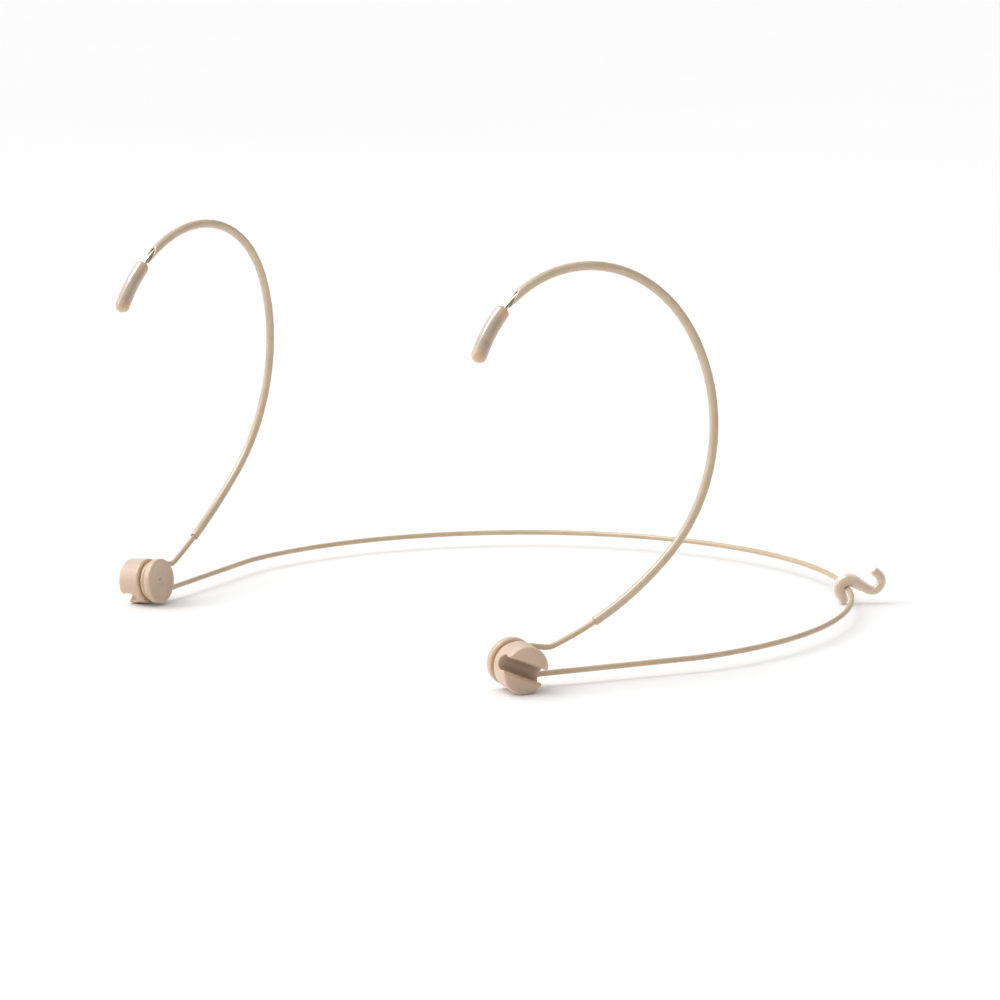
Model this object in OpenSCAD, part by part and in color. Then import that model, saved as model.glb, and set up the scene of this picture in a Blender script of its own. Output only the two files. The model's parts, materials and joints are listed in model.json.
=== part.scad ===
// Headset microphone frame: one bent spring wire that makes a neckband, a loop
// on each side and two ear hooks, with soft ear sheaths and tips, a turning boom
// holder in each loop, and a swinging cable clip on the neckband.
// The wearer faces -Y, the wearer's left is +X, and the part rests on z = 0.

/* [Wire] */
// Diameter of the bare spring steel wire
wire_d = 0.8; // [0.6:0.05:0.9]
// Thickness of the beige coating on the wire
coating_wall = 0.1; // [0.06:0.01:0.2]
// Radius of the wire's loop round each boom holder, at the middle of the wire
loop_radius = 3.3; // [3.1:0.1:3.8]
// Straight wire between each loop and the neckband's first bend
loop_exit = 3; // [2.8:0.1:4]
// How far the neckband's wire rises as it leaves the loop, in degrees
exit_rise = 13; // [0:1:20]
// How far the hook's wire dips below level as it leaves the loop, in degrees
exit_dip = 10; // [5:1:25]
// Straight wire between each loop and the bend at the foot of its hook
hook_exit = 5.5; // [4.5:0.1:7]

/* [Neckband] */
// Distance between the two loops, middle to middle
loop_spacing = 102; // [90:1:120]
// How far the neckband's ends splay outwards, in degrees from straight back
band_splay = 20.5; // [16:0.5:26]
// Radius of the bend from the loop into the neckband
entry_radius = 4; // [3:0.5:8]
// Straight wire at each end of the neckband
band_straight = 30; // [20:0.5:42]
// Radius of the easy bend between the straight and the rear curve
side_radius = 20; // [12:1:40]
// Outward heading where the rear curve begins, in degrees
rear_splay = 11; // [5:0.5:15]

/* [Ear hook] */
// How far each loop and hook turn their front inwards, in degrees
hook_toe = 17; // [8:0.5:22]
// How far the outer end of each boom holder drops, in degrees
hook_tilt = 5; // [0:0.5:8]
// Radius of the small bend where the hook's wire turns upwards
kink_radius = 3; // [2:0.5:4]
// Straight wire after that small bend
hook_straight = 0.5; // [0.5:0.5:4]
// Radius of the lower curve of the hook
lower_radius = 65; // [56:1:72]
// Radius of the curve behind the ear
middle_radius = 32; // [26:1:38]
// Radius of the curve over the ear
upper_radius = 24; // [20:1:28]
// Heading of the hook's wire at its start, above straight back, in degrees
hook_rise = 22.5; // [16:0.5:27]
// Heading where the lower curve ends
middle_rise = 43.5; // [40:0.5:54]
// Heading where the curve behind the ear ends
upper_rise = 121; // [114:1:128]
// Heading at the end of the ear tip
tip_heading = 248.5; // [236:0.5:260]

/* [Ear sheath and tip] */
// Outside diameter of the soft sheath on the hook
sheath_d = 1.6; // [1.4:0.05:2.2]
// Gap all round between the coating and the sheath
sheath_clearance = 0.05; // [0.03:0.01:0.1]
// Coated wire left bare on the lower curve, below the sheath
sheath_start = 8; // [4:0.2:14]
// Slant of the sheath's upper end, in degrees
sheath_slant = 48; // [0:1:55]
// Bare steel wire between the sheath and the ear tip
bare_wire = 3.8; // [2:0.2:8]
// How far the coating stops inside the upper end of the sheath
coating_setback = 4; // [2:0.5:8]
// Diameter of the soft ear tip
tip_d = 2.8; // [2.2:0.1:4]
// Length of the ear tip along the wire
tip_length = 10.6; // [8:0.2:14]
// Solid rubber past the end of the wire inside the ear tip
tip_solid = 3; // [2:0.5:5]
// Rounding of the ear tip's open end
tip_rim = 0.5; // [0.2:0.1:0.7]

/* [Boom holder] */
// Thickness of the flange on the head side of the groove
disc_thickness = 1.5; // [1.2:0.1:2.5]
// Length of the body on the outer side of the groove
body_length = 4.5; // [4.2:0.1:6]
// How far both flanges stand above the wire in the groove
flange_lip = 0.5; // [0.3:0.05:0.8]
// Gap between the wire and the floor of the groove
groove_clearance = 0.08; // [0.04:0.01:0.1]
// Gap on each side of the wire in the groove
groove_side_gap = 0.12; // [0.08:0.01:0.25]
// Rounding of the holder's edges
rim_radius = 0.35; // [0.1:0.05:0.5]
// Diameter of the channel that grips the boom
channel_d = 2.8; // [2.2:0.1:3]
// Depth of the channel's floor below the outer end
channel_depth = 3; // [2.5:0.1:3.2]
// Width of the throat between the channel's two lips
throat_width = 2.4; // [1.8:0.1:2.6]
// Width of the channel's flared mouth
mouth_width = 3.2; // [2.7:0.1:3.4]
// Depth of the flare at the mouth
flare_depth = 0.7; // [0.4:0.1:0.9]
// Depth of the dish in the head side face
dish_depth = 0.2; // [0.1:0.05:0.4]
// Diameter of the moulding gate's mark in the dish
gate_d = 0.9; // [0.5:0.1:1.5]
// Turn of the left holder's channel from level, in degrees
left_turn = -23; // [-90:1:90]
// Turn of the right holder's channel from level, in degrees
right_turn = 45; // [-90:1:90]

/* [Cable clip] */
// Distance along the neckband from its rear middle to the clip
clip_place = 45.5; // [30:0.5:58]
// Thickness of the clip's round strand in its arm and open hook
strand_d = 1.8; // [1.4:0.1:2.2]
// Thickness of the strand in the curl round the neckband
curl_strand_d = 2.4; // [1.8:0.1:2.8]
// Gap all round between the coating and the clip's curl
clip_clearance = 0.12; // [0.1:0.01:0.2]
// Length of the tail below the curl
curl_tail = 2.1; // [1:0.1:3]
// Length of the arm between the curl and the open hook
arm_length = 3.3; // [2.5:0.1:6]
// Slope of the arm below level, in degrees
arm_slope = 30; // [15:1:45]
// Radius of the open hook, at the middle of the strand
clip_hook_radius = 1.75; // [1.5:0.05:3]
// Length of the open hook's straight end
clip_hook_end = 1.6; // [0.5:0.1:3]
// Rounding of the clip's two ends
clip_end_round = 0.4; // [0.2:0.1:0.6]

/* [Smoothness] */
// Sides of the wire, its coating and the sheaths
wire_sides = 10; // [8:1:12]
// Sides of the ear tips and the clip
soft_sides = 14; // [10:1:18]

/* [Hidden] */

wire_r = wire_d / 2;
coating_r = wire_r + coating_wall;
beige = [0.83, 0.75, 0.64];
flesh = [0.87, 0.77, 0.68];
steel = [0.72, 0.71, 0.69];
smoke = [0.72, 0.66, 0.60];
// Largest turn between two stations of a bend, in degrees, from tight to wide
tight_step = 16;
hook_step = 8;
band_step = 5;
// Sides of a turned round, of a bored hole and of the dish's ball
turned_sides = 64;
bored_sides = 48;
dish_sides = 96;
// How far a cutter reaches past the face that it cuts
past = 1;

// ---- Paths -------------------------------------------------------------
// A station on a path is [place, heading, side]: a point, the unit vector along
// the path there, and a unit vector square to it that the rings start from.

function unit(v) = v / norm(v);
function last(list) = list[len(list) - 1];
function spin(v, axis, angle) =
    v * cos(angle) + cross(axis, v) * sin(angle) + axis * (axis * v) * (1 - cos(angle));
function turn_between(from, to) = atan2(norm(cross(from, to)), from * to);
function part_way(from, to, share) =
    spin(from, unit(cross(from, to)), share * turn_between(from, to));
function arc_length(radius, from, to) = radius * turn_between(from, to) * PI / 180;

// The station reached by turning through an angle towards a heading.
function on_arc(station, radius, to, angle) =
    let (
        axis = unit(cross(station[1], to)),
        centre = station[0] + radius * cross(axis, station[1])
    )
    [
        centre + spin(station[0] - centre, axis, angle),
        spin(station[1], axis, angle),
        spin(station[2], axis, angle),
    ];

// A move is [length] for a straight, or [radius, heading to reach, step] for a bend.
function go(station, move) =
    len(move) == 1
        ? [[station[0] + move[0] * station[1], station[1], station[2]]]
        : let (
              angle = turn_between(station[1], move[1]),
              count = max(1, ceil(angle / move[2] - 0.01))
          )
          [for (i = [1:count]) on_arc(station, move[0], move[1], angle * i / count)];

// All stations from the last of the path on, along a list of moves.
function follow(path, moves, i = 0) =
    i == len(moves) ? path : follow(concat(path, go(last(path), moves[i])), moves, i + 1);

function without_first(list) = [for (i = [1:1:len(list) - 1]) list[i]];
function join(paths, i = 0) =
    i == len(paths) - 1 ? paths[i] : concat(paths[i], without_first(join(paths, i + 1)));
function backwards(path) =
    [for (i = [len(path) - 1:-1:0]) [path[i][0], -path[i][1], path[i][2]]];
function mirrored(v) = [-v.x, v.y, v.z];
function other_side(path) =
    [for (s = path) [mirrored(s[0]), mirrored(s[1]), mirrored(s[2])]];

// ---- Frame of one side -------------------------------------------------
// The loop lies in the plane of the back and up axes, square to the out axis,
// which is also the axis that the boom holder turns about.

out_axis = [cos(hook_toe) * cos(hook_tilt), -sin(hook_toe) * cos(hook_tilt), -sin(hook_tilt)];
back_axis = [sin(hook_toe), cos(hook_toe), 0];
up_axis = cross(out_axis, back_axis);

holder_r = loop_radius + coating_r + flange_lip;
groove_floor_r = loop_radius - coating_r - groove_clearance;
groove_half = coating_r + groove_side_gap;
body_end = groove_half + body_length;
disc_end = groove_half + disc_thickness;
// Height of the loop's middle with the holder's outer rim on the ground
rest_height = (body_end - rim_radius) * sin(hook_tilt) + (holder_r - rim_radius) * cos(hook_tilt)
    + rim_radius;
loop_middle = [loop_spacing / 2, 0, rest_height];

function hook_way(rise, outwards = 0) =
    cos(outwards) * (cos(rise) * back_axis + sin(rise) * up_axis) + sin(outwards) * out_axis;

// ---- Cable clip's path -------------------------------------------------
curl_radius = coating_r + clip_clearance + curl_strand_d / 2;
// Heading of the tail where it meets the curl, above the arm's side
tail_rise = 117;
// Heading of the open hook's end, above the arm's side
hook_end_rise = 140;

function clip_way(across, rise) = cos(rise) * across + sin(rise) * [0, 0, 1];
function clip_curl(place, across) =
    let (
        curl_start = place + curl_radius * clip_way(across, tail_rise + 90),
        tail_end = curl_start - curl_tail * clip_way(across, tail_rise),
        side = cross(across, [0, 0, 1])
    )
    follow([[tail_end, clip_way(across, tail_rise), side]], [
        [curl_tail],
        [curl_radius, clip_way(across, -arm_slope), tight_step],
    ]);
function clip_hook(curl_end, across) =
    follow([curl_end], [
        [arm_length],
        [clip_hook_radius, clip_way(across, hook_end_rise), tight_step],
        [clip_hook_end],
    ]);
// How far the end of the tail hangs below the wire
clip_drop = -min([for (ring = strand_rings([0, 0, 0], [1, 0, 0])) for (p = ring) p.z]);

// ---- Wire's path -------------------------------------------------------
loop_front = loop_middle - loop_radius * back_axis;

function band_way(angle, pitch) = [sin(angle), cos(angle) * cos(pitch), cos(angle) * sin(pitch)];
function band_start(pitch) =
    follow([[loop_front, -up_axis, out_axis]], [
        [loop_radius, hook_way(exit_rise), tight_step],
        [loop_exit],
        [entry_radius, band_way(band_splay, pitch), tight_step],
    ]);
function band_side(pitch) =
    follow([last(band_start(pitch))], [
        [band_straight],
        [side_radius, band_way(rear_splay, pitch), band_step],
    ]);
// The rear curve ends square to the middle plane, whatever the sides are.
function rear_radius(pitch) = last(band_side(pitch))[0].x / cos(rear_splay);
function clip_share(pitch) = 1 - clip_place / (rear_radius(pitch) * (90 + rear_splay) * PI / 180);
function band_to_clip(pitch) =
    let (way = part_way(band_way(rear_splay, pitch), [-1, 0, 0], clip_share(pitch)))
    follow([last(band_side(pitch))], [[rear_radius(pitch), way, band_step]]);

// The neckband slopes so that the clip's tail and both holders touch the ground.
level_start = last(band_start(0))[0];
level_clip = last(band_to_clip(0))[0];
band_pitch = atan2(clip_drop - level_start.z, level_clip.y - level_start.y);

clip_station = last(band_to_clip(band_pitch));
half_band = join([
    band_start(band_pitch),
    band_side(band_pitch),
    band_to_clip(band_pitch),
    follow([clip_station], [[rear_radius(band_pitch), [-1, 0, 0], band_step]]),
]);

// How far each heading of the hook leans outwards, in degrees
start_lean = 3.5;
middle_lean = -7;
upper_lean = -8;
end_lean = 12.5;
way_start = hook_way(hook_rise, start_lean);
way_middle = hook_way(middle_rise, middle_lean);
way_upper = hook_way(upper_rise, upper_lean);
way_end = hook_way(tip_heading, end_lean);
lower_arc = arc_length(lower_radius, way_start, way_middle);
upper_arc = arc_length(upper_radius, way_upper, way_end);

// The heading on the upper curve at a distance from the end of the ear tip
function way_before_end(distance) = part_way(way_upper, way_end, 1 - distance / upper_arc);
way_sheath_start = part_way(way_start, way_middle, sheath_start / lower_arc);
way_sheath_end = way_before_end(tip_length + bare_wire);
way_coating_end = way_before_end(tip_length + bare_wire + coating_setback);
way_tip_start = way_before_end(tip_length);
way_wire_end = way_before_end(tip_solid);

hook_lead = follow([[loop_front, up_axis, out_axis]], [
    [loop_radius, hook_way(-exit_dip), tight_step],
    [hook_exit],
    [kink_radius, way_start, tight_step],
    [hook_straight],
    [lower_radius, way_sheath_start, hook_step],
]);
hook_coated = follow([last(hook_lead)], [
    [lower_radius, way_middle, hook_step],
    [middle_radius, way_upper, hook_step],
    [upper_radius, way_coating_end, hook_step],
]);
hook_sleeved = follow([last(hook_coated)], [[upper_radius, way_sheath_end, hook_step]]);
hook_bare = follow([last(hook_sleeved)], [[upper_radius, way_tip_start, hook_step]]);
hook_gripped = follow([last(hook_bare)], [[upper_radius, way_wire_end, hook_step]]);

half_coating = join([backwards(half_band), hook_lead, hook_coated]);
half_wire = join([half_coating, hook_sleeved, hook_bare, hook_gripped]);

// The whole wire, from the end of the right hook to the end of the left one
function both_sides(half) = join([backwards(other_side(half)), half]);

// ---- Swept solids ------------------------------------------------------
function ring(station, r, sides) =
    let (up = cross(station[1], station[2]))
    [for (k = [0:sides - 1])
        station[0] + r * (cos(360 * k / sides) * station[2] + sin(360 * k / sides) * up)];
function rings(path, r, sides) = [for (s = path) ring(s, r, sides)];
function reversed(list) = [for (i = [len(list) - 1:-1:0]) list[i]];

// A skin through rings of equal size, closed by a cap at each end or, for a
// tube, by joining the last ring to the first.
module skin(all_rings, closed_loop = false) {
    sides = len(all_rings[0]);
    count = len(all_rings);
    spans = closed_loop ? count : count - 1;
    walls = [for (i = [0:spans - 1]) for (k = [0:sides - 1])
        let (
            next = (i + 1) % count,
            a = i * sides + k,
            b = i * sides + (k + 1) % sides,
            c = next * sides + (k + 1) % sides,
            d = next * sides + k
        )
        for (face = [[a, c, b], [a, d, c]]) face];
    caps = closed_loop ? [] : [
        [for (k = [0:sides - 1]) k],
        [for (k = [sides - 1:-1:0]) (count - 1) * sides + k],
    ];
    polyhedron(points = [for (r = all_rings) for (p = r) p], faces = concat(walls, caps));
}

module rod(path, r, sides) {
    skin(rings(path, r, sides));
}

module tube(path, inner_r, outer_r, sides) {
    skin(concat(rings(path, outer_r, sides), reversed(rings(path, inner_r, sides))), true);
}

// A ring cut on a slant, by moving its points back along the path on the side
// that faces out of the hook
function slanted_ring(station, r, slant, sides) =
    let (up = cross(station[1], station[2]))
    [for (k = [0:sides - 1])
        station[0] + r * (cos(360 * k / sides) * station[2] + sin(360 * k / sides) * up)
        - r * tan(slant) * sin(360 * k / sides) * station[1]];

// The strand's rings, with both ends rounded. The station at an end moves back
// along the strand by the rounding that is left at each angle.
function end_ring(station, into, a) =
    ring(
        [station[0] + into * clip_end_round * (1 - sin(a)) * station[1], station[1], station[2]],
        strand_d / 2 - clip_end_round * (1 - cos(a)),
        soft_sides
    );
function strand_rings(place, across) =
    let (curl = clip_curl(place, across), hook = clip_hook(last(curl), across))
    concat(
        [for (a = [90:-30:0]) end_ring(curl[0], 1, a)],
        [for (i = [1:len(curl) - 1]) ring(curl[i], curl_strand_d / 2, soft_sides)],
        [for (i = [1:len(hook) - 2]) ring(hook[i], strand_d / 2, soft_sides)],
        [for (a = [0:30:90]) end_ring(last(hook), -1, a)]
    );

// ---- Ear tip -----------------------------------------------------------
tip_r = tip_d / 2;
function tip_station(distance) =
    on_arc(last(hook_bare), upper_radius, way_end, distance / upper_radius * 180 / PI);
function tip_ring(distance, r) = ring(tip_station(distance), r, soft_sides);
tip_rings = concat(
    [for (a = [0:30:90]) tip_ring(tip_rim * (1 - cos(a)), tip_r - tip_rim * (1 - sin(a)))],
    [for (i = [1:4]) tip_ring(tip_rim + (tip_length - tip_r - tip_rim) * i / 4, tip_r)],
    [for (a = [20:20:80]) tip_ring(tip_length - tip_r * (1 - sin(a)), tip_r * cos(a))]
);
// The bore's flats clear the wire, whatever the sides are.
bore_rings = rings(reversed(hook_gripped), wire_r / cos(180 / soft_sides), soft_sides);

// The part is moved so that its origin lies under the middle of its outline.
front_y = min([for (r = tip_rings) for (p = r) p.y]);
rear_y = max([for (p = ring(half_coating[0], coating_r, wire_sides)) p.y]);
middle_y = (front_y + rear_y) / 2;

module placed() {
    translate([0, -middle_y, 0])
        children();
}

// ---- Boom holder -------------------------------------------------------
// The holder's own z axis runs outwards from the middle of the groove.

function rounded_corner(centre, r, from) =
    [for (a = [from:22.5:from + 90]) centre + r * [cos(a), sin(a)]];

module holder_outline() {
    r = rim_radius;
    // Bevel where the groove opens
    lip = 0.15;
    polygon(concat(
        [[0, -disc_end]],
        rounded_corner([holder_r - r, -disc_end + r], r, -90),
        [[holder_r, -groove_half - lip], [holder_r - lip, -groove_half]],
        [[groove_floor_r, -groove_half], [groove_floor_r, groove_half]],
        [[holder_r - lip, groove_half], [holder_r, groove_half + lip]],
        rounded_corner([holder_r - r, body_end - r], r, 0),
        [[0, body_end]]
    ));
}

// The snap-in channel across the outer end: a round bore behind two lips
module boom_channel() {
    middle = body_end - channel_depth + channel_d / 2;
    translate([0, 0, middle])
        rotate([0, 90, 0])
            cylinder(h = 2 * holder_r + 2 * past, d = channel_d, center = true, $fn = bored_sides);
    rotate([90, 0, 90])
        linear_extrude(2 * holder_r + 2 * past, center = true)
            polygon([
                [-throat_width / 2, middle],
                [throat_width / 2, middle],
                [throat_width / 2, body_end - flare_depth],
                [mouth_width / 2, body_end],
                [mouth_width / 2, body_end + past],
                [-mouth_width / 2, body_end + past],
                [-mouth_width / 2, body_end],
                [-throat_width / 2, body_end - flare_depth],
            ]);
}

module gate_dish() {
    dish_r = holder_r - 2 * rim_radius;
    ball_r = (dish_r * dish_r + dish_depth * dish_depth) / (2 * dish_depth);
    difference() {
        translate([0, 0, -disc_end - ball_r + dish_depth])
            sphere(r = ball_r, $fn = dish_sides);
        translate([0, 0, -disc_end])
            cylinder(h = 2 * dish_depth, d = gate_d, $fn = bored_sides);
    }
}

module boom_holder(turn) {
    axes = [back_axis, up_axis, out_axis];
    multmatrix([for (i = [0:2]) [axes[0][i], axes[1][i], axes[2][i], loop_middle[i]]])
        rotate([0, 0, turn])
            difference() {
                rotate_extrude($fn = turned_sides)
                    holder_outline();
                boom_channel();
                gate_dish();
            }
}

// ---- Nodes -------------------------------------------------------------
module frame_wire() {
    color(steel)
        placed()
            rod(both_sides(half_wire), wire_r, wire_sides);
}

module wire_coating() {
    color(beige)
        placed()
            tube(both_sides(half_coating), wire_r, coating_r, wire_sides);
}

module ear_sheath() {
    inner_r = coating_r + sheath_clearance;
    outer_r = sheath_d / 2;
    path = join([hook_coated, hook_sleeved]);
    body = [for (i = [0:len(path) - 2]) path[i]];
    color(beige)
        placed()
            skin(concat(
                rings(body, outer_r, wire_sides),
                [slanted_ring(last(path), outer_r, sheath_slant, wire_sides)],
                [slanted_ring(last(path), inner_r, sheath_slant, wire_sides)],
                reversed(rings(body, inner_r, wire_sides))
            ), true);
}

module left_ear_sheath() {
    ear_sheath();
}

module right_ear_sheath() {
    mirror([1, 0, 0])
        ear_sheath();
}

module ear_tip() {
    color(smoke)
        placed()
            skin(concat(bore_rings, tip_rings));
}

module left_ear_tip() {
    ear_tip();
}

module right_ear_tip() {
    mirror([1, 0, 0])
        ear_tip();
}

module left_boom_holder() {
    color(flesh)
        placed()
            boom_holder(left_turn);
}

module right_boom_holder() {
    color(flesh)
        mirror([1, 0, 0])
            placed()
                boom_holder(right_turn);
}

module cable_clip() {
    across = unit([clip_station[1].y, -clip_station[1].x, 0]);
    color(flesh)
        placed()
            skin(strand_rings(clip_station[0], across));
}

frame_wire();
wire_coating();
left_ear_sheath();
right_ear_sheath();
left_ear_tip();
right_ear_tip();
left_boom_holder();
right_boom_holder();
cable_clip();
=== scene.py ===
"""A headset microphone frame, lying on a pale table as it comes out of its box.

One spring wire is bent into a neckband, two loops and two ear hooks. The script
bends the wire again in fine steps, then slips on its coating, ear sheaths and ear
tips, moulds the two boom holders and the cable clip, and finishes each of them.
Lengths are in millimetres until a piece is made, and metres after that.
"""

import json
from math import ceil, cos, pi, radians, sin, tan

import bmesh
import bpy
from mathutils import Matrix, Vector


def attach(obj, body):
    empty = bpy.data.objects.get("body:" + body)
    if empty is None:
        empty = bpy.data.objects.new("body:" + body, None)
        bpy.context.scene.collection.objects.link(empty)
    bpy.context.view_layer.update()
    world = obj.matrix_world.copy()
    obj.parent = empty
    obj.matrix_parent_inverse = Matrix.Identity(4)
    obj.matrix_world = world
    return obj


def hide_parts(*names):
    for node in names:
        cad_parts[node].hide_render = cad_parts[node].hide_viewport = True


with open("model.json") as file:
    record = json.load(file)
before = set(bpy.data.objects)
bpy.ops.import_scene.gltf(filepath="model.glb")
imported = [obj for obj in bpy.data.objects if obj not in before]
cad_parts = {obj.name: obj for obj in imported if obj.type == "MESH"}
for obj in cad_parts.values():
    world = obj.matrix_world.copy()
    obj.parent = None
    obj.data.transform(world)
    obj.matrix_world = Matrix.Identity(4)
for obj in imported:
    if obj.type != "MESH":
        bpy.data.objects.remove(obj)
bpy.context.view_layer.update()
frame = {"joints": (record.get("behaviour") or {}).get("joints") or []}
joints = {joint["name"]: joint for joint in frame["joints"]}
MM = 0.001

# ---- Camera --------------------------------------------------------------
AZIMUTH, ELEVATION, ROLL = radians(47.0), radians(9.90), radians(-0.17)
LOOK_AT = Vector((3.17, -11.08, 22.34)) * MM
DISTANCE = 676.8 * MM


def add_object(name, data):
    thing = bpy.data.objects.new(name, data)
    bpy.context.scene.collection.objects.link(thing)
    return thing


def finished_mesh(name, bm):
    mesh = bpy.data.meshes.new(name)
    bm.to_mesh(mesh)
    bm.free()
    return mesh


def aim_camera():
    towards = Vector((sin(AZIMUTH) * cos(ELEVATION), -cos(AZIMUTH) * cos(ELEVATION), sin(ELEVATION)))
    level = Vector((cos(AZIMUTH), sin(AZIMUTH), 0))
    upright = towards.cross(level)
    right = level * cos(ROLL) + upright * sin(ROLL)
    upright = towards.cross(right)
    data = bpy.data.cameras.new("camera")
    data.sensor_width = 36
    data.lens = 128.4
    data.clip_start, data.clip_end = 0.02, 50
    camera = add_object("camera", data)
    camera.matrix_world = Matrix.LocRotScale(
        LOOK_AT + DISTANCE * towards,
        Matrix((right, upright, towards)).transposed().to_quaternion(),
        None,
    )
    bpy.context.scene.camera = camera
    return level, towards


CAMERA_RIGHT, TOWARDS_CAMERA = aim_camera()

# ---- Finishes ------------------------------------------------------------


def tone(red, green, blue):
    """A paint-chart colour, 0 to 255 a channel, as light values."""
    chart = [channel / 255 for channel in (red, green, blue)]
    return (*[c / 12.92 if c <= 0.04045 else ((c + 0.055) / 1.055) ** 2.4 for c in chart], 1.0)


def new_group(name, takes, gives):
    group = bpy.data.node_groups.new(name, "ShaderNodeTree")
    for label, kind, value in takes:
        socket = group.interface.new_socket(label, in_out="INPUT", socket_type=kind)
        socket.default_value = value
    for label, kind in gives:
        group.interface.new_socket(label, in_out="OUTPUT", socket_type=kind)
    return group, group.nodes.new("NodeGroupInput"), group.nodes.new("NodeGroupOutput")


def noise_node(tree, vector, scale, detail):
    node = tree.nodes.new("ShaderNodeTexNoise")
    tree.links.new(vector, node.inputs["Vector"])
    if isinstance(scale, (int, float)):
        node.inputs["Scale"].default_value = scale
    else:
        tree.links.new(scale, node.inputs["Scale"])
    node.inputs["Detail"].default_value = detail
    node.inputs["Roughness"].default_value = 0.55
    return node.outputs["Fac"]


def spread_node(tree, value, low, high, to_low, to_high):
    node = tree.nodes.new("ShaderNodeMapRange")
    tree.links.new(value, node.inputs["Value"])
    for label, number in (("From Min", low), ("From Max", high), ("To Min", to_low), ("To Max", to_high)):
        if isinstance(number, (int, float)):
            node.inputs[label].default_value = number
        else:
            tree.links.new(number, node.inputs[label])
    return node.outputs["Result"]


def mix_node(tree, share, first, second):
    node = tree.nodes.new("ShaderNodeMix")
    node.data_type = "RGBA"
    for label, kind, value in (("Factor", "VALUE", share), ("A", "RGBA", first), ("B", "RGBA", second)):
        socket = [s for s in node.inputs if s.name == label and s.type == kind][0]
        if isinstance(value, tuple):
            socket.default_value = value
        else:
            tree.links.new(value, socket)
    return [s for s in node.outputs if s.type == "RGBA"][0]


def maths_node(tree, operation, first, second=None):
    node = tree.nodes.new("ShaderNodeMath")
    node.operation = operation
    for socket, value in zip(node.inputs, (first, second)):
        if isinstance(value, (int, float)):
            socket.default_value = value
        elif value is not None:
            tree.links.new(value, socket)
    return node.outputs["Value"]


def make_tint_drift():
    """Colour that wanders a little between two shades, as pigment in plastic does."""
    group, takes, gives = new_group(
        "tint_drift",
        [
            ("Vector", "NodeSocketVector", (0, 0, 0)),
            ("Scale", "NodeSocketFloat", 300.0),
            ("Shade", "NodeSocketColor", (0.6, 0.5, 0.4, 1)),
            ("Other Shade", "NodeSocketColor", (0.6, 0.5, 0.4, 1)),
        ],
        [("Color", "NodeSocketColor")],
    )
    cloud = noise_node(group, takes.outputs["Vector"], takes.outputs["Scale"], 3)
    share = spread_node(group, cloud, 0.35, 0.65, 0.0, 1.0)
    mixed = mix_node(group, share, takes.outputs["Shade"], takes.outputs["Other Shade"])
    group.links.new(mixed, gives.inputs["Color"])
    return group


def make_satin_skin():
    """The finely etched skin of moulded or extruded plastic: relief and uneven gloss."""
    group, takes, gives = new_group(
        "satin_skin",
        [
            ("Vector", "NodeSocketVector", (0, 0, 0)),
            ("Grain Scale", "NodeSocketFloat", 9000.0),
            ("Smooth", "NodeSocketFloat", 0.35),
            ("Rough", "NodeSocketFloat", 0.5),
        ],
        [("Height", "NodeSocketFloat"), ("Roughness", "NodeSocketFloat")],
    )
    grain = noise_node(group, takes.outputs["Vector"], takes.outputs["Grain Scale"], 2)
    smear = noise_node(group, takes.outputs["Vector"], 700.0, 4)
    gloss = spread_node(group, smear, 0.3, 0.7, takes.outputs["Smooth"], takes.outputs["Rough"])
    group.links.new(grain, gives.inputs["Height"])
    group.links.new(gloss, gives.inputs["Roughness"])
    return group


def make_painted_hollow_shade():
    """Painted shade: colour that sinks to a darker one in hollows, where little light gets in."""
    group, takes, gives = new_group(
        "painted_hollow_shade",
        [
            ("Shade", "NodeSocketColor", (0.6, 0.5, 0.4, 1)),
            ("Depth Shade", "NodeSocketColor", (0.3, 0.2, 0.15, 1)),
            ("Reach", "NodeSocketFloat", 0.002),
        ],
        [("Color", "NodeSocketColor")],
    )
    hollow = group.nodes.new("ShaderNodeAmbientOcclusion")
    hollow.samples, hollow.only_local = 8, True
    group.links.new(takes.outputs["Reach"], hollow.inputs["Distance"])
    # The darker colour is painted shade, set by how closed in each point is.
    share = spread_node(group, hollow.outputs["AO"], 0.25, 0.85, 1.0, 0.0)
    mixed = mix_node(group, share, takes.outputs["Shade"], takes.outputs["Depth Shade"])
    group.links.new(mixed, gives.inputs["Color"])
    return group


PARTING_RISE = 5.0  # The parting line's height beside the plastic's own grain.
TINT_DRIFT = make_tint_drift()
PAINTED_HOLLOW_SHADE = make_painted_hollow_shade()
SATIN_SKIN = make_satin_skin()


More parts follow.
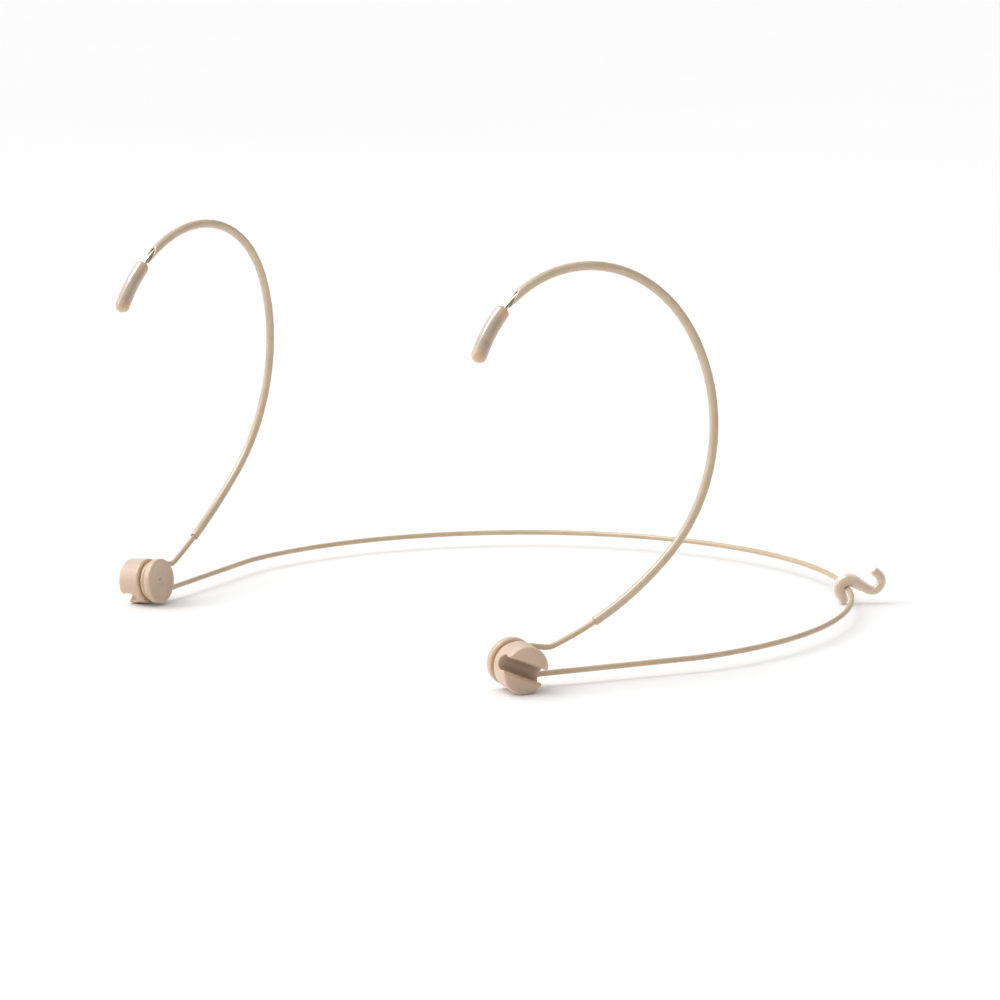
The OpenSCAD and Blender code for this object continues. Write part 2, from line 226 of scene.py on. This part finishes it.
class Finish:
    """A material with its Principled shader, and the shared groups placed in it."""

    def __init__(self, name):
        self.material = bpy.data.materials.new(name)
        self.material.use_nodes = True
        self.tree = self.material.node_tree
        self.shader = self.tree.nodes["Principled BSDF"]
        self.place = self.tree.nodes.new("ShaderNodeTexCoord").outputs["Object"]

    def set(self, **values):
        for label, value in values.items():
            self.shader.inputs[label.replace("_", " ")].default_value = value

    def link(self, value, label):
        self.tree.links.new(value, self.shader.inputs[label])

    def group(self, group, **values):
        node = self.tree.nodes.new("ShaderNodeGroup")
        node.node_tree = group
        if "Vector" in node.inputs:
            self.tree.links.new(self.place, node.inputs["Vector"])
        for label, value in values.items():
            socket = node.inputs[label.replace("_", " ")]
            if isinstance(value, bpy.types.NodeSocket):
                self.tree.links.new(value, socket)
            else:
                socket.default_value = value
        return node.outputs

    def rim_share(self, blend):
        """How nearly the surface is seen edge on."""
        weight = self.tree.nodes.new("ShaderNodeLayerWeight")
        weight.inputs["Blend"].default_value = blend
        return weight.outputs["Facing"]

    def surface(self, shades, gloss, relief, grain=9000.0, drift=250.0, ridge=None):
        """Sets gloss and relief, with a ridge on top if there is one, and gives back the colour."""
        etched = self.group(SATIN_SKIN, Grain_Scale=grain, Smooth=gloss[0], Rough=gloss[1])
        self.link(etched["Roughness"], "Roughness")
        height = etched["Height"]
        if ridge is not None:
            height = maths_node(self.tree, "ADD", ridge, height)
        bump = self.tree.nodes.new("ShaderNodeBump")
        bump.inputs["Strength"].default_value = 1.0
        bump.inputs["Distance"].default_value = relief * MM
        self.tree.links.new(height, bump.inputs["Height"])
        self.link(bump.outputs["Normal"], "Normal")
        colour = self.group(TINT_DRIFT, Scale=drift, Shade=shades[0], Other_Shade=shades[1])
        return colour["Color"]

    def glow_through(self, weight, depth, reach):
        self.set(Subsurface_Weight=weight, Subsurface_Scale=depth * MM, Subsurface_Radius=reach)


def steel_finish():
    steel = Finish("polished_spring_steel")
    steel.set(Metallic=1.0, IOR=2.5)
    shades = tone(200, 182, 160), tone(186, 168, 146)
    steel.link(steel.surface(shades, (0.1, 0.2), 0.002, grain=14000.0, drift=600.0), "Base Color")
    return steel.material


def coating_finish():
    coating = Finish("beige_wire_coating")
    shades = tone(203, 181, 150), tone(195, 172, 141)
    coating.link(coating.surface(shades, (0.26, 0.34), 0.001), "Base Color")
    coating.glow_through(0.12, 0.3, (1.0, 0.6, 0.35))
    return coating.material


def sheath_finish():
    sheath = Finish("beige_ear_sheath")
    shades = tone(206, 186, 160), tone(198, 177, 151)
    sheath.link(sheath.surface(shades, (0.26, 0.35), 0.0015), "Base Color")
    sheath.glow_through(0.2, 0.5, (1.0, 0.62, 0.36))
    return sheath.material


def tip_finish():
    """Clear grey silicone: warm at both ends and hazy along its middle, with a painted sheen that pales its
    rims.
    """
    tip = Finish("smoky_silicone")
    tree = tip.tree
    along = tree.nodes.new("ShaderNodeAttribute")
    along.attribute_name = "along"
    warm = spread_node(tree, along.outputs["Fac"], 0.05, 0.3, 1.0, 0.0)
    nose = spread_node(tree, along.outputs["Fac"], 0.72, 0.95, 0.0, 1.0)
    ends = maths_node(tree, "MAXIMUM", warm, nose)
    grey = tip.surface((tone(188, 170, 150), tone(180, 162, 143)), (0.24, 0.3), 0.001)
    colour = mix_node(tree, ends, grey, tone(210, 175, 141))
    # Painted sheen: the colour pales to a light grey where the surface is seen edge on.
    tip_rim_sheen = spread_node(tree, tip.rim_share(0.5), 0.3, 0.95, 0.0, 0.85)
    tip.link(mix_node(tree, tip_rim_sheen, colour, tone(224, 214, 203)), "Base Color")
    tip.glow_through(0.5, 0.7, (1.0, 0.62, 0.4))
    tip.set(Coat_Weight=0.6, Coat_Roughness=0.25)
    return tip.material


def holder_finish():
    """Flesh-coloured plastic that light sinks into, with the mould's parting line, painted shade in its
    hollows and a painted sheen on its rims.
    """
    holder = Finish("flesh_moulded_plastic")
    tree = holder.tree
    own_place = tree.nodes.new("ShaderNodeAttribute")
    own_place.attribute_name = "own_place"
    split = tree.nodes.new("ShaderNodeSeparateXYZ")
    tree.links.new(own_place.outputs["Vector"], split.inputs["Vector"])
    off_line = maths_node(tree, "ABSOLUTE", split.outputs["X"])
    parting_line = spread_node(tree, off_line, 0.02 * MM, 0.08 * MM, PARTING_RISE, 0.0)
    shades = tone(206, 183, 161), tone(200, 176, 153)
    colour = holder.surface(shades, (0.34, 0.46), 0.006, ridge=parting_line)
    # Painted sheen: the colour pales towards a light tone where the surface is seen edge on.
    pale = spread_node(tree, holder.rim_share(0.4), 0.35, 1.0, 0.0, 0.7)
    lit = mix_node(tree, pale, colour, tone(222, 207, 192))
    # Painted shade in hollows: dark brown in the channel, and lighter and warm in the shallow groove.
    in_channel = spread_node(tree, split.outputs["Z"], 0.8 * MM, 1.4 * MM, 0.0, 1.0)
    painted_hollow_colour = mix_node(tree, in_channel, tone(212, 178, 145), tone(148, 113, 90))
    hollow_shaded = holder.group(PAINTED_HOLLOW_SHADE, Shade=lit, Depth_Shade=painted_hollow_colour, Reach=3.0 * MM)
    holder.link(hollow_shaded["Color"], "Base Color")
    holder.glow_through(0.7, 1.4, (1.0, 0.52, 0.3))
    holder.set(Coat_Weight=0.15, Coat_Roughness=0.3)
    return holder.material


def clip_finish():
    clip = Finish("milky_clip_plastic_painted_sheen")
    colour = clip.surface((tone(213, 193, 171), tone(207, 186, 163)), (0.2, 0.3), 0.004)
    # Painted sheen: the colour whitens where the surface is seen edge on.
    clip_rim_sheen = spread_node(clip.tree, clip.rim_share(0.5), 0.12, 0.75, 0.0, 1.0)
    clip.link(mix_node(clip.tree, clip_rim_sheen, colour, tone(238, 234, 228)), "Base Color")
    clip.glow_through(0.8, 1.2, (1.0, 0.6, 0.38))
    clip.set(Coat_Weight=1.0, Coat_Roughness=0.14)
    return clip.material


# ---- Bending -------------------------------------------------------------
LONGEST_STEP, WIDEST_TURN = 2.5, radians(7)
SEAM = 0.001


def part_way(start, end, share):
    """The heading a share of the way round from one heading to another."""
    return Matrix.Rotation(share * start.angle(end), 3, start.cross(end).normalized()) @ start


class Path:
    """A path of straights and bends, from a place and a heading.

    Each move is a centre, an axis, an angle and a length. A straight has no centre.
    """

    def __init__(self, place, heading):
        self.start, self.first_heading = place.copy(), heading.copy()
        self.place, self.heading = place.copy(), heading.copy()
        self.moves = []
        self.length = 0.0

    def straight(self, length):
        self.moves.append((None, None, 0.0, length))
        self.length += length
        self.place = self.place + length * self.heading
        return self

    def bend(self, radius, heading):
        axis = self.heading.cross(heading).normalized()
        centre = self.place + radius * axis.cross(self.heading)
        angle = self.heading.angle(heading)
        self.moves.append((centre, axis, angle, radius * angle))
        self.length += radius * angle
        turn = Matrix.Rotation(angle, 3, axis)
        self.place = centre + turn @ (self.place - centre)
        self.heading = turn @ self.heading
        return self

    def onwards(self):
        return Path(self.place, self.heading)

    def spot(self, distance):
        """The place and the heading at a distance along the path."""
        place, heading = self.start.copy(), self.first_heading.copy()
        for centre, axis, angle, length in self.moves:
            share = min(distance / length, 1)
            if centre is None:
                place = place + share * length * heading
            else:
                turn = Matrix.Rotation(share * angle, 3, axis)
                place, heading = centre + turn @ (place - centre), turn @ heading
            distance -= share * length
            if distance < 1e-6:
                break
        return place, heading


def quarter_turn(steps):
    """Even angles up to a right angle, without the first, which is 0."""
    return [pi / 2 * i / steps for i in range(1, steps + 1)]


def facing(place, heading, side):
    """The matrix of a ring at a place, square to a heading."""
    side = (side - side.dot(heading) * heading).normalized()
    turn = Matrix((side, heading.cross(side), heading)).transposed().to_4x4()
    return Matrix.Translation(place) @ turn


def new_ring(bm, place, heading, side, radius, sides):
    ring = bmesh.ops.create_circle(bm, radius=radius, segments=sides, matrix=facing(place, heading, side))
    return list({edge for vert in ring["verts"] for edge in vert.link_edges})


def verts_of(edges):
    return list({vert for edge in edges for vert in edge.verts})


def edges_among(items):
    return [item for item in items if isinstance(item, bmesh.types.BMEdge)]


def pull(bm, edges, paths):
    """Draws a ring of edges along paths, in short steps round each bend."""
    for path in paths:
        heading = path.first_heading.copy()
        for centre, axis, angle, length in path.moves:
            if centre is None:
                edges = edges_among(bmesh.ops.extrude_edge_only(bm, edges=edges)["geom"])
                bmesh.ops.translate(bm, verts=verts_of(edges), vec=length * heading)
            else:
                steps = max(ceil(angle / WIDEST_TURN), ceil(length / LONGEST_STEP), 1)
                turned = bmesh.ops.spin(bm, geom=edges, cent=centre, axis=axis, angle=angle, steps=steps)
                edges = edges_among(turned["geom_last"])
                heading = Matrix.Rotation(angle, 3, axis) @ heading
    return edges


def close_rim(bm, outer, inner):
    """Fills the flat rim between two rings that share their middle and their number of sides.

    Each corner is paired with the inner one that lies the same way from the middle.
    """
    corners = verts_of(outer)
    middle = sum((vert.co for vert in corners), Vector()) / len(corners)
    inner_way = {vert: (vert.co - middle).normalized() for vert in verts_of(inner)}
    partner = {}
    for vert in corners:
        partner[vert] = max(inner_way, key=lambda other: inner_way[other].dot(vert.co - middle))
    for edge in outer:
        start, end = edge.verts
        bm.faces.new((start, end, partner[end], partner[start]))
    bmesh.ops.recalc_face_normals(bm, faces=bm.faces)


def join_rings(bm, rings):
    """Joins each ring of edges to the next, and closes both ends."""
    for ring, following in zip(rings, rings[1:]):
        bmesh.ops.bridge_loops(bm, edges=ring + following)
    for end in (rings[0], rings[-1]):
        bmesh.ops.edgeloop_fill(bm, edges=end)
    bmesh.ops.recalc_face_normals(bm, faces=bm.faces)


def make_piece(name, bm, material, replaced, body):
    """Turns a finished shape into an object in metres that rides on its body."""
    bmesh.ops.scale(bm, verts=bm.verts, vec=Vector((MM, MM, MM)))
    mesh = finished_mesh(name, bm)
    mesh.shade_smooth()
    mesh.materials.append(material)
    piece = add_object(name, mesh)
    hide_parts(replaced)
    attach(piece, body)
    return piece


def flip_sides(bm):
    """Turns a left piece into a right one."""
    bmesh.ops.scale(bm, verts=bm.verts, vec=Vector((-1, 1, 1)))
    bmesh.ops.reverse_faces(bm, faces=bm.faces)


# ---- Sizes and headings of one side -----------------------------------------
TOE, TILT = radians(17), radians(5)
OUT = Vector((cos(TOE) * cos(TILT), -sin(TOE) * cos(TILT), -sin(TILT)))
BACK = Vector((sin(TOE), cos(TOE), 0))
UP = OUT.cross(BACK)
LOOP_MIDDLE = Vector(joints["left_holder_turn"]["pos_m"]) / MM
CLIP_MIDDLE = Vector(joints["clip_swing"]["pos_m"]) / MM

WIRE_R, SNUG_R, COATING_R = 0.4, 0.41, 0.5
WIRE_SIDES, COATING_SIDES, SHEATH_SIDES, TIP_SIDES, STRAND_SIDES = 20, 24, 32, 36, 40
LOOP_R, LOOP_EXIT, EXIT_RISE = 3.3, 3.0, 13
HOOK_EXIT, EXIT_DIP = 5.5, 10
ENTRY_R, BAND_SPLAY, BAND_STRAIGHT = 4.0, radians(20.5), 30.0
SIDE_R, REAR_SPLAY, BAND_PITCH = 20.0, radians(11), radians(0.42251)
KINK_R, HOOK_STRAIGHT = 3.0, 0.5
LOWER_R, MIDDLE_R, UPPER_R = 65.0, 32.0, 24.0
SHEATH_R, SHEATH_BORE_R, SHEATH_START = 0.8, 0.55, 8.0
SHEATH_SLANT, TONGUE, SLANT_REACH, SHEATH_ROUNDING = radians(65), 2.65, 1.8, 0.06
BARE_WIRE, COATING_SETBACK = 3.8, 4.0
TIP_R, TIP_LENGTH, TIP_SOLID = 1.4, 10.6, 3.0


def hook_way(rise, outwards=0.0):
    rise, outwards = radians(rise), radians(outwards)
    return cos(outwards) * (cos(rise) * BACK + sin(rise) * UP) + sin(outwards) * OUT


def band_way(angle):
    return Vector((sin(angle), cos(angle) * cos(BAND_PITCH), cos(angle) * sin(BAND_PITCH)))


WAY_START, WAY_MIDDLE = hook_way(22.5, 3.5), hook_way(43.5, -7)
WAY_UPPER, WAY_END = hook_way(121, -8), hook_way(248.5, 12.5)
LOWER_ARC = LOWER_R * WAY_START.angle(WAY_MIDDLE)
UPPER_ARC = UPPER_R * WAY_UPPER.angle(WAY_END)


def way_before_end(distance):
    return part_way(WAY_UPPER, WAY_END, 1 - distance / UPPER_ARC)


LOOP_FRONT = LOOP_MIDDLE - LOOP_R * BACK
band = Path(LOOP_FRONT, -UP).bend(LOOP_R, hook_way(EXIT_RISE)).straight(LOOP_EXIT)
band.bend(ENTRY_R, band_way(BAND_SPLAY)).straight(BAND_STRAIGHT).bend(SIDE_R, band_way(REAR_SPLAY))
band.bend(band.place.x / cos(REAR_SPLAY), Vector((-1, 0, 0)))
hook_lead = Path(LOOP_FRONT, UP).bend(LOOP_R, hook_way(-EXIT_DIP)).straight(HOOK_EXIT).bend(KINK_R, WAY_START)
hook_lead.straight(HOOK_STRAIGHT).bend(LOWER_R, part_way(WAY_START, WAY_MIDDLE, SHEATH_START / LOWER_ARC))
hook_coated = hook_lead.onwards().bend(LOWER_R, WAY_MIDDLE).bend(MIDDLE_R, WAY_UPPER)
hook_coated.bend(UPPER_R, way_before_end(TIP_LENGTH + BARE_WIRE + COATING_SETBACK))
hook_sleeved = hook_coated.onwards().bend(UPPER_R, way_before_end(TIP_LENGTH + BARE_WIRE))
hook_bare = hook_sleeved.onwards().bend(UPPER_R, way_before_end(TIP_LENGTH))
hook_gripped = hook_bare.onwards().bend(UPPER_R, way_before_end(TIP_SOLID))

# ---- Wire, coating, sheaths and tips ----------------------------------------


def both_halves(bm):
    bmesh.ops.mirror(bm, geom=bm.verts[:] + bm.edges[:] + bm.faces[:], axis="X", merge_dist=SEAM)
    bmesh.ops.remove_doubles(bm, verts=bm.verts, dist=SEAM)
    bmesh.ops.recalc_face_normals(bm, faces=bm.faces)


def make_wire():
    bm = bmesh.new()
    ring = new_ring(bm, LOOP_FRONT, UP, OUT, WIRE_R, WIRE_SIDES)
    pull(bm, ring, [band])
    end = pull(bm, ring, [hook_lead, hook_coated, hook_sleeved, hook_bare, hook_gripped])
    bmesh.ops.edgeloop_fill(bm, edges=end)
    both_halves(bm)
    return make_piece("bent_spring_wire", bm, steel_finish(), "frame_wire", "frame")


def make_coating():
    bm = bmesh.new()
    ends = []
    for radius in (COATING_R, SNUG_R):
        ring = new_ring(bm, LOOP_FRONT, UP, OUT, radius, COATING_SIDES)
        pull(bm, ring, [band])
        ends.append(pull(bm, ring, [hook_lead, hook_coated]))
    close_rim(bm, *ends)
    both_halves(bm)
    return make_piece("wire_coat", bm, coating_finish(), "wire_coating", "frame")


def slanted_end(bm, ring, path, reach, slant):
    """Draws a ring on to a slanted plane that is longer on the inside of the bend."""
    ring = edges_among(bmesh.ops.extrude_edge_only(bm, edges=ring)["geom"])
    inwards = (path.moves[-1][0] - path.place).normalized()
    for vert in verts_of(ring):
        further = reach + tan(slant) * (vert.co - path.place).dot(inwards)
        bmesh.ops.translate(bm, verts=[vert], vec=further * path.heading)
    return ring


def make_sheath(side, material):
    """A soft tube, cut square at the bottom and on a slant where the bare wire comes out."""
    bm = bmesh.new()
    last = hook_coated.onwards().bend(UPPER_R, way_before_end(TIP_LENGTH + TONGUE + SLANT_REACH))
    starts, ends = [], []
    for radius in (SHEATH_R, SHEATH_BORE_R):
        ring = new_ring(bm, hook_coated.start, hook_coated.first_heading, OUT, radius, SHEATH_SIDES)
        starts.append(ring)
        pulled = pull(bm, ring, [hook_coated, last])
        ends.append(slanted_end(bm, pulled, last, SLANT_REACH, SHEATH_SLANT))
    for rings in (starts, ends):
        close_rim(bm, *rings)
    bmesh.ops.bevel(bm, geom=sum(starts + ends, []), offset=SHEATH_ROUNDING, offset_type="OFFSET",
                    segments=2, profile=0.5, affect="EDGES", material=-1, clamp_overlap=True)
    bmesh.ops.recalc_face_normals(bm, faces=bm.faces)
    if side == "right":
        flip_sides(bm)
    return make_piece(f"{side}_soft_sheath", bm, material, f"{side}_ear_sheath", "frame")


def make_tip(side, material):
    """A round-nosed rubber tip on the last of the wire, with a low collar where it goes in."""
    bm = bmesh.new()
    path = hook_sleeved.onwards().bend(UPPER_R, WAY_END)
    collar, shoulder, end = 0.74, 0.75, TIP_LENGTH - TIP_R
    # Up the bore, round the collar's lip, over the shoulder, along, and round the nose.
    outline = [(TIP_LENGTH - TIP_SOLID, SNUG_R), (-0.2, SNUG_R), (-0.26, 0.47), (-0.26, 0.56)]
    outline += [(-0.2, 0.63), (0, collar)]
    outline += [(shoulder * (1 - cos(a)), TIP_R - (TIP_R - collar) * (1 - sin(a))) for a in quarter_turn(8)]
    outline += [(shoulder + (end - shoulder) * i / 12, TIP_R) for i in range(1, 12)]
    outline += [(end + TIP_R * sin(a), TIP_R * cos(a)) for a in [0] + quarter_turn(12)[:-1]]
    outline += [(TIP_LENGTH, 0.05)]
    rings = [new_ring(bm, *path.spot(BARE_WIRE + way), OUT, radius, TIP_SIDES) for way, radius in outline]
    along = bm.verts.layers.float.new("along")
    for (way, _), ring in zip(outline, rings):
        for vert in verts_of(ring):
            vert[along] = way / TIP_LENGTH
    join_rings(bm, rings)
    if side == "right":
        flip_sides(bm)
    return make_piece(f"{side}_rubber_tip", bm, material, f"{side}_ear_tip", "frame")


# ---- Boom holders ---------------------------------------------------------
HOLDER_R, GROOVE_FLOOR_R, GROOVE_HALF = 4.3, 2.72, 0.62
GROOVE_CHAMFER, DISH, MARK_RISE = 0.32, 0.2, 0.12
BODY_END, DISC_END, RIM = 5.12, 2.12, 0.35
CHANNEL_R, CHANNEL_DEPTH, THROAT, MOUTH, FLARE = 1.4, 3.0, 2.4, 3.2, 0.7
LEFT_TURN, RIGHT_TURN = radians(-23), radians(45)


def rounding(first, last):
    """Points on a rounded edge, from its middle, between two angles in degrees."""
    return [(RIM * cos(radians(angle)), RIM * sin(radians(angle))) for angle in range(first, last + 1, 15)]


def turned_blank():
    """The holder before its channel is cut: a round with a groove, a dish and a gate mark."""
    mark, dish = -DISC_END + DISH + MARK_RISE, -DISC_END + DISH
    outline = [(0, -DISC_END - 0.05), (0.32, -DISC_END), (0.42, mark), (0.75, mark), (0.95, dish)]
    dish_r, edge_r = HOLDER_R - 2 * RIM, HOLDER_R - RIM
    outline += [(dish_r * s, -DISC_END + DISH * (1 - s * s)) for s in (0.35, 0.45, 0.6, 0.8, 1.0)]
    outline += [(edge_r + x, RIM - DISC_END + z) for x, z in rounding(-90, 0)]
    chamfer_r, chamfer_end = HOLDER_R - GROOVE_CHAMFER, GROOVE_HALF + GROOVE_CHAMFER
    outline += [(HOLDER_R, -chamfer_end), (chamfer_r, -GROOVE_HALF), (GROOVE_FLOOR_R, -GROOVE_HALF)]
    outline += [(GROOVE_FLOOR_R, GROOVE_HALF), (chamfer_r, GROOVE_HALF), (HOLDER_R, chamfer_end)]
    outline += [(edge_r + x, BODY_END - RIM + z) for x, z in rounding(0, 90)]
    outline += [(0, BODY_END)]
    bm = bmesh.new()
    verts = [bm.verts.new((x, 0, z)) for x, z in outline]
    edges = [bm.edges.new(pair) for pair in zip(verts, verts[1:])]
    bmesh.ops.spin(bm, geom=edges, cent=(0, 0, 0), axis=(0, 0, 1), angle=2 * pi, steps=96, use_merge=True)
    bmesh.ops.remove_doubles(bm, verts=bm.verts, dist=0.0001)
    bmesh.ops.recalc_face_normals(bm, faces=bm.faces)
    return add_object("blank", finished_mesh("blank", bm))


def channel_cutter():
    """A round bar with a flared slot above it, as long as the holder is wide."""
    middle = BODY_END - CHANNEL_DEPTH + CHANNEL_R
    half_throat, half_mouth = THROAT / 2, MOUTH / 2 + 0.1
    bar = bmesh.new()
    bmesh.ops.create_cone(bar, cap_ends=True, segments=64, radius1=CHANNEL_R, radius2=CHANNEL_R, depth=12,
                          matrix=Matrix.Translation((0, 0, middle)) @ Matrix.Rotation(pi / 2, 4, "Y"))
    slot = bmesh.new()
    corners = [(-half_throat, middle), (half_throat, middle), (half_throat, BODY_END - FLARE),
               (half_mouth, BODY_END), (half_mouth, BODY_END + 2), (-half_mouth, BODY_END + 2),
               (-half_mouth, BODY_END), (-half_throat, BODY_END - FLARE)]
    face = slot.faces.new([slot.verts.new((-6, y, z)) for y, z in corners])
    pulled = bmesh.ops.extrude_face_region(slot, geom=[face])["geom"]
    bmesh.ops.translate(slot, verts=[v for v in pulled if isinstance(v, bmesh.types.BMVert)], vec=(12, 0, 0))
    bmesh.ops.recalc_face_normals(slot, faces=slot.faces)
    return [add_object(name, finished_mesh(name, bm)) for name, bm in (("bar", bar), ("slot", slot))]


def moulded_holder():
    """The holder in its own axes, cut and softened on every edge."""
    blank = turned_blank()
    cutters = channel_cutter()
    for cutter in cutters:
        cut = blank.modifiers.new("cut", "BOOLEAN")
        cut.operation, cut.solver, cut.object = "DIFFERENCE", "EXACT", cutter
    remesh = blank.modifiers.new("remesh", "REMESH")
    remesh.mode, remesh.voxel_size, remesh.use_smooth_shade = "VOXEL", 0.075, True
    soften = blank.modifiers.new("soften", "SMOOTH")
    soften.factor, soften.iterations = 0.5, 16
    bpy.context.view_layer.update()
    softened = blank.evaluated_get(bpy.context.evaluated_depsgraph_get())
    finished = bpy.data.meshes.new_from_object(softened)
    for spare in (blank, *cutters):
        bpy.data.objects.remove(spare)
    return finished


def make_holder(side, turn, shape, material):
    bm = bmesh.new()
    bm.from_mesh(shape)
    own_place = bm.verts.layers.float_vector.new("own_place")
    for vert in bm.verts:
        vert[own_place] = vert.co * MM
    axes = Matrix((BACK, UP, OUT)).transposed().to_4x4()
    bm.transform(Matrix.Translation(LOOP_MIDDLE) @ axes @ Matrix.Rotation(turn, 4, "Z"))
    if side == "right":
        flip_sides(bm)
    replaced, body = f"{side}_boom_holder", f"{side}_holder"
    return make_piece(f"{side}_snap_holder", bm, material, replaced, body)


# ---- Cable clip -----------------------------------------------------------
STRAND_R, CURL_STRAND_R, CLIP_GAP = 0.9, 1.2, 0.12
CLIP_TAIL, CLIP_ARM, CLIP_HOOK_R, CLIP_HOOK_END = 2.1, 3.3, 1.75, 1.6
TAIL_RISE, ARM_RISE, HOOK_END_RISE = 117, -30, 140


def make_clip():
    """A round strand that curls round the neckband and ends in an open hook."""
    heading = Vector(joints["clip_swing"]["axis"])
    across = Vector((abs(heading.y), abs(heading.x), 0)).normalized()
    sky = Vector((0, 0, 1))

    def clip_way(rise):
        return cos(radians(rise)) * across + sin(radians(rise)) * sky

    curl_r = COATING_R + CLIP_GAP + CURL_STRAND_R
    curl_start = CLIP_MIDDLE + curl_r * clip_way(TAIL_RISE + 90)
    path = Path(curl_start - CLIP_TAIL * clip_way(TAIL_RISE), clip_way(TAIL_RISE))
    path.straight(CLIP_TAIL).bend(curl_r, clip_way(ARM_RISE))
    arm_start = path.length
    path.straight(CLIP_ARM).bend(CLIP_HOOK_R, clip_way(HOOK_END_RISE)).straight(CLIP_HOOK_END)
    end = path.length

    def strand(way):
        """The strand is thickest where it curls, and thins along its tail and its arm."""
        share = min(way / CLIP_TAIL, 1 - (way - arm_start) / CLIP_ARM)
        share = min(max(share, 0), 1)
        return STRAND_R + (CURL_STRAND_R - STRAND_R) * share * share * (3 - 2 * share)

    blunt, round_end = 0.35, 0.8
    outline = [(blunt * (1 - sin(a)), STRAND_R - blunt * (1 - cos(a))) for a in reversed(quarter_turn(6))]
    ways = [blunt + (end - blunt - round_end) * i / 110 for i in range(111)]
    outline += [(way, strand(way)) for way in ways]
    outline += [(end - round_end * (1 - sin(a)), STRAND_R - round_end * (1 - cos(a))) for a in quarter_turn(9)]
    bm = bmesh.new()
    side = across.cross(sky)
    rings = [new_ring(bm, *path.spot(way), side, radius, STRAND_SIDES) for way, radius in outline]
    join_rings(bm, rings)
    return make_piece("curled_cable_clip", bm, clip_finish(), "cable_clip", "clip")


make_wire()
make_coating()
sheath_material, tip_material, holder_material = sheath_finish(), tip_finish(), holder_finish()
for side in ("left", "right"):
    make_sheath(side, sheath_material)
    make_tip(side, tip_material)
holder_shape = moulded_holder()
make_holder("left", LEFT_TURN, holder_shape, holder_material)
make_holder("right", RIGHT_TURN, holder_shape, holder_material)
make_clip()

# ---- Table and light ------------------------------------------------------
TABLE_HALF, TABLE_GAP = 6.0, 0.02 * MM


def make_table():
    bm = bmesh.new()
    bmesh.ops.create_grid(bm, x_segments=4, y_segments=4, size=TABLE_HALF)
    table = add_object("table_top", finished_mesh("table_top", bm))
    table.location.z = -TABLE_GAP
    white = Finish("white_table")
    shades = {"Shade": (0.93, 0.93, 0.93, 1), "Other_Shade": (0.92, 0.92, 0.92, 1)}
    white.link(white.group(TINT_DRIFT, Scale=2.0, **shades)["Color"], "Base Color")
    white.set(Roughness=0.9, Specular_IOR_Level=0.1)
    table.data.materials.append(white.material)


def soft_box(name, width, height, power):
    box = bpy.data.lights.new(name, "AREA")
    box.shape, box.size, box.size_y, box.energy = "RECTANGLE", width, height, power
    return box


def hang(lamp, offset):
    """Puts a lamp at an offset from what the camera looks at, shining back at it."""
    light = add_object(lamp.name, lamp)
    light.matrix_world = Matrix.LocRotScale(LOOK_AT + offset, offset.to_track_quat("Z", "Y"), None)
    return light


def light_studio():
    """A white room, brightest above and to the upper left, with a broad soft lamp there."""
    flat = Vector((TOWARDS_CAMERA.x, TOWARDS_CAMERA.y, 0)).normalized()
    towards_lamp = (-0.75 * CAMERA_RIGHT - 0.1 * flat + Vector((0, 0, 1.1))).normalized()
    world = bpy.data.worlds.new("studio")
    world.use_nodes = True
    tree = world.node_tree
    facing_lamp = tree.nodes.new("ShaderNodeVectorMath")
    facing_lamp.operation = "DOT_PRODUCT"
    tree.links.new(tree.nodes.new("ShaderNodeTexCoord").outputs["Generated"], facing_lamp.inputs[0])
    facing_lamp.inputs[1].default_value = towards_lamp
    bright = spread_node(tree, facing_lamp.outputs["Value"], -0.2, 1.0, 0.27, 1.2)
    tree.links.new(bright, tree.nodes["Background"].inputs["Strength"])
    tree.nodes["Background"].inputs["Color"].default_value = (1, 1, 1, 1)
    bpy.context.scene.world = world
    lamp = bpy.data.lights.new("soft_lamp", "SUN")
    lamp.energy, lamp.angle = 0.8, radians(40)
    hang(lamp, 0.5 * towards_lamp)
    # A tall strip on the left draws the highlights along the wire and the tips.
    hang(soft_box("strip_box", 0.16, 0.6, 2.0), -0.9 * CAMERA_RIGHT + 0.2 * flat + Vector((0, 0, 0.4)))
    # A box overhead adds the pale sheen on what faces up. It lights no matt surface.
    sheen = soft_box("sheen_box", 0.4, 0.5, 11.0)
    light = hang(sheen, -0.45 * CAMERA_RIGHT + 0.1 * flat + Vector((0, 0, 0.9)))
    light.visible_diffuse = light.visible_transmission = light.visible_volume_scatter = False


make_table()
light_studio()
bpy.context.scene.view_settings.view_transform = "Standard"
